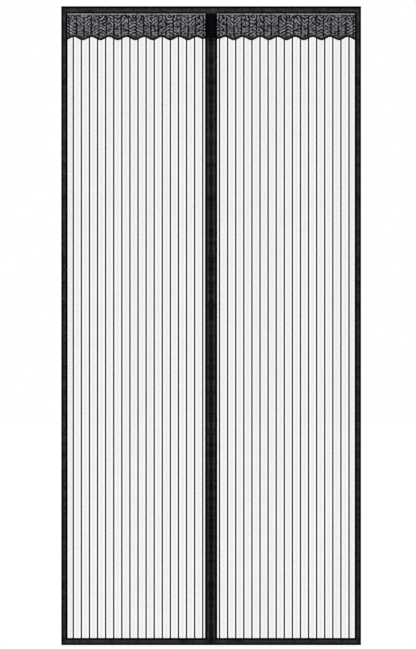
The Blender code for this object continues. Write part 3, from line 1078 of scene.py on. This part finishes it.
@dataclass(frozen=True)
class Strokes:
    """Pale and dark strokes in turn, over some rows of the knit or down all of it.

    Attributes:
        pitch: distance from one pale stroke to the next.
        weight: how much they lighten and darken the knit.
        top: depth below the header where they start.
        foot: depth where they end.
        shift: height of a pale stroke, as draw is given it.
        waver: how far the uneven knit moves them.
        hardness: 1 for a soft wave, and more for flat tones with quick edges.
    """

    pitch: float
    weight: float
    top: float = -1.0
    foot: float = 1.0
    shift: float = 0.0
    waver: float = 0.0
    hardness: float = 1.5

    def draw(self, height: np.ndarray, depth: np.ndarray, uneven: np.ndarray) -> np.ndarray:
        """Lay the strokes.

        Args:
            height: what the strokes are levels of.
            depth: distances below the header.
            uneven: the unevenness of the knit, from -1 to 1.

        Returns:
            How much lighter the knit gets.
        """
        turn = math.tau * (height + self.waver * uneven - self.shift) / self.pitch
        strokes = np.clip(self.hardness * np.cos(turn), -1, 1)
        return self.weight * strokes * rows(depth, self.top, self.foot)


VEINS = Strokes(11.4 * MM, 0.62, top=22 * MM, foot=42 * MM, shift=31 * MM)
BROWS = Strokes(9.6 * MM, 0.5, top=9 * MM, foot=22 * MM, shift=15 * MM, waver=1.5 * MM)
RINGS = Strokes(9.4 * MM, 0.44, top=9 * MM, foot=38 * MM, waver=1.6 * MM)
ROOF = Strokes(10 * MM, 0.48, top=38 * MM, foot=76 * MM, waver=1.6 * MM)
KNOTS = Strokes(21 * MM, 0.48)


@dataclass
class LaceValance:
    """Knitted lace valance of one panel, with its wavy lower edge bound in overlock.

    The knit is a common one. Dark upright lines part it into columns, and each column has a
    duller spine. Leaves of slanted veins point down at a few places, with brows above and a
    diamond trellis below, and rings over a roof of veins stand half way between them. A plain
    pale row runs along the top, and a dark row of needle threads along the overlock. The two
    valances mirror each other, but for their waves, which die out beside the patch. The
    motifs' places and reaches are in columns, and sizes in metres. A lift, dip or tone is a
    share of the way from a dark gap to the pale yarn. The lace is sewn in to a share of the
    edging's width, and its foot sways, but for its held ends.
    """

    side: Side
    first_crest: float
    leaves: tuple[float, ...] = (2.0, 6.5, 11.0, 16.0)
    end_motifs: tuple[float, ...] = (-0.25, 18.5)
    wave_pitch: float = 57.9 * MM
    wave_depth: float = 10.6 * MM
    wave_fade: float = 20 * MM
    column: float = 24.6 * MM
    first_line: float = 5.5 * MM
    line_width: float = 4.0 * MM
    line_fade: float = 1.4 * MM
    bead_pitch: float = 15 * MM
    bead_swell: float = 0.35
    spine_half: float = 2.4 * MM
    spine_dip: float = 0.36
    lobe_pitch: float = 11.5 * MM
    lobe_waver: float = 2 * MM
    lobe_lift: float = 0.22
    leaf_reach: float = 1.15
    ring_reach: float = 1.05
    motif_fade: float = 3 * MM
    brow_slope: float = 0.45
    roof_slope: float = 0.6
    trellis_pitch: float = 12 * MM
    trellis_lift: float = 0.46
    trellis_rows: tuple[float, float] = (43 * MM, 76 * MM)
    ring_depth: float = 13 * MM
    knot_reach: float = 7 * MM
    knot_fade: float = 4 * MM
    knot_step: float = 5 * MM
    crossed_rows: tuple[float, float] = (9 * MM, 40 * MM)
    crossed_width: float = 6 * MM
    crossed_share: float = 0.4
    # Painted shadow under the header's foot: the lace's top rows darken to this depth, by this
    # share.
    top_gap: float = 3.2 * MM
    gap_dip: float = 1.6
    top_row: float = 6.3 * MM
    top_fade: float = 1.6 * MM
    top_pale: float = 0.95
    dash_depth: float = 8.4 * MM
    dash_half: float = 2 * MM
    dash_dip: float = 0.8
    foot_row: float = 8.0 * MM
    foot_tone: float = 0.3
    needle_row: float = 2.6 * MM
    needle_dip: float = 0.8
    ground: float = 0.33
    unevenness: float = 0.34
    uneven_size: tuple[float, float] = (6 * MM, 5 * MM)
    relief: float = 0.5 * MM
    base: float = 0.45 * MM
    flare: float = 0.9 * MM
    flare_drop: float = 90 * MM
    held_end: float = 0.06
    sewn_in: float = 0.6
    mesh_step: float = 1.15 * MM
    edging_sides: int = 10
    edging_step: float = 0.8 * MM
    wrap_pitch: float = 1.9 * MM
    wrap_swell: tuple[float, float] = (1.02, 0.16)
    box: NodeBox = field(init=False)
    edging: NodeBox = field(init=False)
    header_foot: float = field(init=False)

    def __post_init__(self) -> None:
        """Read the valance's place from the frame."""
        self.box = NodeBox.of(f"{self.side.word}_valance")
        self.edging = NodeBox.of(f"{self.side.word}_valance_edging")
        self.header_foot = NodeBox.of("header_band").low.z

    def wave(self, x: np.ndarray) -> np.ndarray:
        """Height of the edging's outer edge at x."""
        turn = math.tau * (x - self.box.low.x - self.first_crest) / self.wave_pitch
        share = smooth((np.abs(x) - self.box.near) / self.wave_fade)
        return self.edging.low.z + self.wave_depth / 2 * (1 + np.cos(turn) * share)

    def sway(self, x: np.ndarray, share: np.ndarray) -> np.ndarray:
        """How far the lower edge sways forwards at x, by its share of the way across."""
        turn = math.tau * (x - self.box.low.x - self.first_crest) / (2 * self.wave_pitch)
        ends = smooth(share / self.held_end) * smooth((1 - share) / self.held_end)
        return self.flare * ends * (0.5 + 0.5 * np.cos(turn))

    @property
    def edging_width(self) -> float:
        """Width of the overlocked edge."""
        return self.edging.size.z - self.wave_depth

    def motif_distance(self, column: np.ndarray, places: Sequence[float]) -> np.ndarray:
        """Distance in metres to the nearest of some motifs, whose places are in columns."""
        return np.min(np.abs(column[:, None] - np.array(places)), axis=1) * self.column

    def motifs(self, column: np.ndarray, depth: np.ndarray, uneven: np.ndarray) -> np.ndarray:
        """Draw the leaves, what stands between them and the knots of the other columns.

        Args:
            column: places across the lace, in columns from its first line.
            depth: distances below the header.
            uneven: the unevenness of the knit, from -1 to 1.

        Returns:
            How much lighter the knit gets.
        """
        leaf = self.motif_distance(column, self.leaves)
        halves = [(a + b) / 2 for a, b in zip(self.leaves, self.leaves[1:])]
        middle = self.motif_distance(column, [*self.end_motifs, *halves])
        in_leaf = smooth((self.leaf_reach * self.column - leaf) / self.motif_fade)
        in_middle = smooth((self.ring_reach * self.column - middle) / self.motif_fade)
        in_middle = in_middle * (1 - in_leaf)
        trellis = np.cos(math.tau * (depth + leaf) / self.trellis_pitch)
        trellis = trellis * np.cos(math.tau * (depth - leaf) / self.trellis_pitch)
        leaves = VEINS.draw(depth + leaf, depth, uneven)
        leaves = leaves + BROWS.draw(depth + self.brow_slope * leaf, depth, uneven)
        leaves = leaves + self.trellis_lift * trellis * rows(depth, *self.trellis_rows)
        between = RINGS.draw(np.hypot(middle, depth - self.ring_depth), depth, uneven)
        between = between + ROOF.draw(depth - self.roof_slope * middle, depth, uneven)
        staggered = depth + self.knot_step * np.sign(np.sin(math.pi * column))
        off_line = np.abs(column - np.round(column)) * self.column
        knots = smooth((off_line - self.column / 2 + self.knot_reach) / self.knot_fade)
        knots = knots * KNOTS.draw(staggered, depth, uneven)
        crossed = rows(depth, *self.crossed_rows) * smooth(1 - leaf / self.crossed_width)
        turn = math.tau * depth / self.bead_pitch + math.pi * np.round(column)
        beads = self.line_width / 2 * (1 + self.bead_swell * np.cos(turn))
        line = smooth((beads - off_line) / self.line_fade + 0.5)
        motifs = in_leaf * leaves + in_middle * between + (1 - in_leaf) * (1 - in_middle) * knots
        return motifs - line * (1 - self.crossed_share * crossed)

    def knit(self, from_end: np.ndarray, depth: np.ndarray) -> np.ndarray:
        """How pale the knit is at a point.

        Args:
            from_end: distances from the valance's end at the side band.
            depth: distances below the header.

        Returns:
            About 0 in a dark gap and 1 on pale yarn, not clamped.
        """
        column = (from_end - self.first_line) / self.column
        off_line = np.abs(column - np.round(column)) * self.column
        uneven = value_noise(from_end / self.uneven_size[0], depth / self.uneven_size[1])
        lobes = np.cos(math.tau * (depth + self.lobe_waver * uneven) / self.lobe_pitch)
        lobes = lobes * np.sin(math.tau * column)
        spine = smooth((off_line - self.column / 2) / self.spine_half + 1)
        level = self.ground + self.unevenness * uneven
        level = level + self.lobe_lift * lobes - self.spine_dip * spine
        level = level + self.motifs(column, depth, uneven)
        top = smooth(1 - (depth - self.top_row) / self.top_fade)
        level = level * (1 - top) + (self.top_pale + 0.5 * uneven) * top
        dashes = smooth(0.5 - 1.2 * np.cos(math.tau * column))
        dash_top, dash_foot = self.dash_depth - self.dash_half, self.dash_depth + self.dash_half
        dashes = dashes * rows(depth, dash_top, dash_foot)
        # Painted shadow under the header's foot.
        gap = smooth((self.top_gap - depth) / MM + 0.5)
        return level - self.dash_dip * dashes - self.gap_dip * gap

    def strand(self, x: np.ndarray, z: np.ndarray) -> np.ndarray:
        """How much pale yarn shows at a point of the lace, from 0 to 1."""
        from_end = self.box.far - np.abs(x)
        level = np.clip(self.knit(from_end, self.header_foot - z), 0, 1)
        above_foot = z - self.wave(x) - self.edging_width
        foot = smooth(1 - above_foot / self.foot_row)
        needle = smooth(1.8 - above_foot / self.needle_row)
        plain = self.foot_tone + 0.2 * level
        return (level * (1 - foot) + plain * foot) * (1 - self.needle_dip * needle)

    def build(self) -> Piece:
        """Knit the valance with its relief and hand it to the frame.

        Returns:
            The valance.
        """
        word = self.side.word
        left, right = self.box.low.x, self.box.high.x
        top, back = self.box.high.z, self.box.high.y

        def shape(s: np.ndarray, t: np.ndarray) -> tuple[np.ndarray, np.ndarray]:
            x = left + (right - left) * s
            foot = self.wave(x) + self.edging_width * self.sewn_in
            z = top + (foot - top) * (1 - t)
            swayed = smooth((self.header_foot - z) / self.flare_drop) * self.sway(x, s)
            y = back - self.base / 2 - self.relief * self.strand(x, z) - swayed
            return np.stack([x, y, z], axis=1), np.stack([x, z], axis=1)

        across = round((right - left) / self.mesh_step)
        along = round(self.box.size.z / self.mesh_step)
        piece = cloth_grid(f"{word}_valance_lace", across, along, shape)
        points = points_of(piece)
        set_attribute(piece, "strand", self.strand(points[:, 0], points[:, 2]))
        apply_modifier(piece, "SOLIDIFY", thickness=self.base, offset=0.0)
        finish_piece(piece, LACE, (f"{word}_valance",))
        self.bind_edge()
        return piece

    def bind_edge(self) -> Piece:
        """Wrap the wavy edge in slanted overlock threads.

        Returns:
            The edging.
        """
        word = self.side.word
        left, right = self.edging.low.x, self.edging.high.x
        steps = round((right - left) / self.edging_step)
        x = np.linspace(left, right, steps + 1)
        wave = self.wave(x)
        slope = np.gradient(wave, x)
        length = np.hypot(1, slope)
        normal_x, normal_z = (-slope / length)[:, None], (1 / length)[:, None]
        turns = math.tau * np.arange(self.edging_sides) / self.edging_sides
        run = np.concatenate([[0], np.cumsum(np.hypot(np.diff(x), np.diff(wave)))])
        wraps = run[:, None] / self.wrap_pitch + turns / math.tau
        swell = self.wrap_swell[0] + self.wrap_swell[1] * np.abs(np.sin(math.pi * wraps))
        half_width = self.edging_width / 2
        side = half_width + np.cos(turns) * half_width * swell
        depth = np.sin(turns) * self.edging.size.y / 2 * swell
        y = self.edging.middle.y - self.sway(x, (x - left) / (right - left))[:, None] - depth
        ring = [x[:, None] + normal_x * side, y, wave[:, None] + normal_z * side]
        faces = tube_faces(1, steps + 1, self.edging_sides)
        part = (np.stack(ring, axis=2).reshape(-1, 3), faces)
        piece = mesh_piece(f"{word}_valance_overlock", [part])
        return finish_piece(piece, OVERLOCK_YARN, (f"{word}_valance_edging",))


@dataclass
class JoiningPatch:
    """Patch sewn over the tops of both centre bands, with a turned edge all round."""

    node: str = "top_joining_patch"
    turned: float = 4.0 * MM
    seam_inset: float = 3.2 * MM
    mesh_step: float = 1.1 * MM
    cloth: float = 0.5 * MM
    turned_lift: float = 0.35 * MM
    turned_fade: float = 1.2 * MM
    slit_dip: float = 0.1 * MM
    slit_width: float = 1.6 * MM
    seam_dip: float = 0.15 * MM
    seam_width: float = 0.7 * MM
    seam_shade: float = 2.4 * MM
    thread_lift: float = 0.3 * MM
    box: NodeBox = field(init=False)

    def __post_init__(self) -> None:
        """Read the patch's place from the frame."""
        self.box = NodeBox.of(self.node)

    def rim(self, x: np.ndarray, z: np.ndarray) -> np.ndarray:
        """Distance from the patch's nearest edge."""
        low, high = self.box.low, self.box.high
        return np.minimum.reduce([x - low.x, high.x - x, z - low.z, high.z - z])

    def build(self) -> Piece:
        """Shape the patch over the bands beneath it and sew round it.

        Returns:
            The patch.
        """
        box, size = self.box, self.box.size

        def shape(s: np.ndarray, t: np.ndarray) -> tuple[np.ndarray, np.ndarray]:
            x, z = box.low.x + size.x * s, box.low.z + size.z * t
            rim = self.rim(x, z)
            lift = self.turned_lift * smooth(1 - (rim - self.turned) / self.turned_fade)
            slit = self.slit_dip * np.exp(-((x / self.slit_width) ** 2))
            seam = self.seam_dip * np.exp(-(((rim - self.seam_inset) / self.seam_width) ** 2))
            back = box.high.y - self.cloth / 2
            y = np.minimum(back - lift + seam + slit, back)
            return np.stack([x, y, z], axis=1), np.stack([x, z], axis=1)

        across, along = round(size.x / self.mesh_step), round(size.z / self.mesh_step)
        piece = cloth_grid("joining_patch_cloth", across, along, shape)
        points = points_of(piece)
        seam = np.abs(self.rim(points[:, 0], points[:, 2]) - self.seam_inset)
        set_attribute(piece, "edge_shade", smooth(1 - seam / self.seam_shade))
        apply_modifier(piece, "SOLIDIFY", thickness=self.cloth, offset=0.0)
        finish_piece(piece, PATCH_CLOTH, (self.node,))
        self.sew()
        return piece

    def sew(self) -> Piece:
        """Sew round the patch, just inside its turned edge."""
        y = self.box.high.y - self.cloth - self.thread_lift
        left, right = self.box.low.x + self.seam_inset, self.box.high.x - self.seam_inset
        low, high = self.box.low.z + self.seam_inset, self.box.high.z - self.seam_inset
        places = ((left, high), (left, low), (right, low), (right, high), (left, high))
        corners = [Vector((x, y, z)) for x, z in places]
        runs = [(begin, end, -1.0) for begin, end in zip(corners, corners[1:])]
        row = StitchRow(length=2.6 * MM, thread=0.5 * MM, pitch=3.4 * MM)
        return row.sew("joining_patch_stitches", runs, "patch_fabric")


@dataclass
class FasteningTape:
    """One strip of hook or loop tape behind the screen."""

    node: str
    finish: Finish
    slot: str
    crown: float = 0.18 * MM
    crown_length: float = 130 * MM
    soft_edge: float = 0.25 * MM
    mesh_step: float = 9.0 * MM

    def build(self) -> Piece:
        """Shape the strip with slightly crowned faces and soft edges.

        Returns:
            The strip.
        """
        box = NodeBox.of(self.node)
        size = box.size
        level = size.x > size.z
        long, wide = (size.x, size.z) if level else (size.z, size.x)

        def shape(s: np.ndarray, t: np.ndarray) -> tuple[np.ndarray, np.ndarray]:
            crown = 0.4 * self.crown * np.sin(math.tau * t * long / self.crown_length)
            x = box.low.x + size.x * (t if level else s)
            z = box.low.z + size.z * (s if level else t)
            points = np.stack([x, box.middle.y + crown, z], axis=1)
            return points, np.stack([s * wide, t * long], axis=1)

        piece = cloth_grid(f"{self.node}_strip", 6, math.ceil(long / self.mesh_step), shape)
        apply_modifier(piece, "SOLIDIFY", thickness=size.y - 2 * self.crown, offset=0.0)
        apply_modifier(piece, "BEVEL", width=self.soft_edge, segments=2, limit_method="ANGLE")
        finish_piece(piece, self.finish, (self.node,))
        return piece


def dress_kept_nodes(nodes: dict[str, Piece]) -> None:
    """Give the hidden magnets and weights their finishes.

    Args:
        nodes: the CAD nodes by name.
    """
    for name, node in nodes.items():
        if "_magnet_" in name:
            set_material(node, FERRITE)
        elif name.endswith("_hem_weight"):
            set_material(node, STEEL)


@dataclass
class Studio:
    """White ground, soft light and a camera straight in front, as in the photograph.

    The photograph shows the screen 299.3 pixels wide in a picture 649 pixels high, its middle
    a little right of the picture's and a little below it.
    """

    picture_height: float = 649.0
    screen_pixels: float = 299.85
    aim_left: float = 3.15
    aim_up: float = 1.2
    lens: float = 150.0
    sensor: float = 36.0
    floor_gap: float = 12 * MM
    floor_size: float = 40.0
    floor_glow: float = 1.08
    world_light: float = 0.82
    key_light: float = 30.0
    key_size: float = 1.6
    key_place: Vector = field(default_factory=lambda: Vector((-1.6, -2.6, 1.9)))

    def camera(self, low: Vector, high: Vector) -> None:
        """Place the camera so that the screen fills the picture as in the photograph."""
        middle = (low + high) / 2
        metres_per_pixel = (high.x - low.x) / self.screen_pixels
        distance = self.picture_height * metres_per_pixel * self.lens / self.sensor
        data = bpy.data.cameras.new("camera")
        data.lens = self.lens
        data.sensor_width = self.sensor
        camera = add_object("camera", data)
        camera.location = (
            middle.x - self.aim_left * metres_per_pixel,
            low.y - distance,
            middle.z + self.aim_up * metres_per_pixel,
        )
        camera.rotation_euler = (math.pi / 2, 0, 0)
        bpy.context.scene.camera = camera

    def seen_ray(self, add: Adder) -> Socket:
        """1 for rays from the camera, mirrors and clear things, which see the white ground."""
        kinds = ("Camera", "Glossy", "Transmission")
        camera, glossy, clear = (add("LightPath", {}, f"Is {kind} Ray") for kind in kinds)
        total = add("Math", {"operation": "ADD", 0: camera, 1: glossy})
        return add("Math", {"operation": "ADD", "use_clamp": True, 0: total, 1: clear})

    def world(self) -> None:
        """Surround the screen with even light and a white that only sight reaches."""
        world = bpy.data.worlds.new("studio")
        world.use_nodes = True
        bpy.context.scene.world = world
        tree = world.node_tree
        tree.nodes.clear()
        add = partial(add_node, tree)
        seen = self.seen_ray(add)
        strength = add("MapRange", {"To Min": self.world_light, "To Max": 1.0, "Value": seen})
        light = add("Background", {"Color": (1, 1, 1, 1), "Strength": strength})
        feed(tree.nodes.new("ShaderNodeOutputWorld"), {"Surface": light})

    def floor(self, low: Vector) -> None:
        """Lay a white floor just below the screen, which keeps a faint shadow."""
        bpy.ops.object.select_all(action="DESELECT")
        place = (0, 0, low.z - self.floor_gap)
        bpy.ops.mesh.primitive_plane_add(size=self.floor_size, location=place)
        floor = bpy.context.object
        floor.name = "studio_floor"
        made = bpy.data.materials.new("white_studio_floor")
        made.use_nodes = True
        tree = made.node_tree
        tree.nodes.clear()
        add = partial(add_node, tree)
        matt = add("BsdfDiffuse", {"Color": (0.9, 0.9, 0.9, 1)})
        glow = add("Emission", {"Strength": self.floor_glow})
        share = add("MapRange", {"To Min": 0.0, "To Max": 0.8, "Value": self.seen_ray(add)})
        both = add("MixShader", {0: share, 1: matt, 2: glow})
        feed(tree.nodes.new("ShaderNodeOutputMaterial"), {"Surface": both})
        floor.data.materials.append(made)
        floor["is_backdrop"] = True

    def key(self, middle: Vector) -> None:
        """Hang one large soft lamp in front, above and to the left."""
        data = bpy.data.lights.new("key", "AREA")
        data.shape = "DISK"
        data.size = self.key_size
        data.energy = self.key_light
        lamp = add_object("key", data)
        lamp.location = middle + self.key_place
        lamp.rotation_euler = (middle - lamp.location).to_track_quat("-Z", "Y").to_euler()

    def set_up(self, low: Vector, high: Vector) -> None:
        """Build the whole studio round the screen."""
        bpy.context.scene.view_settings.view_transform = "Standard"
        self.camera(low, high)
        self.world()
        self.floor(low)
        self.key((low + high) / 2)


def main() -> None:
    """Dress the screen piece by piece and light it."""
    logging.basicConfig(level=logging.INFO, format="%(name)s: %(message)s")
    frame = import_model()
    cad_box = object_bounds()
    Studio().set_up(*cad_box)
    dress_kept_nodes(frame["nodes"])
    for band in screen_bands():
        band.build()
    for side in Side:
        NetPanel(side).build()
    LaceValance(Side.LEFT, first_crest=21.7 * MM).build()
    LaceValance(Side.RIGHT, first_crest=26.5 * MM).build()
    JoiningPatch().build()
    for place in ("top", "left", "right"):
        FasteningTape(f"loop_tape_{place}", LOOP_PILE, "loop_tape").build()
        FasteningTape(f"hook_tape_{place}", HOOK_BACK, "hook_tape").build()
    bpy.context.view_layer.update()


if __name__ == "__main__":
    main()
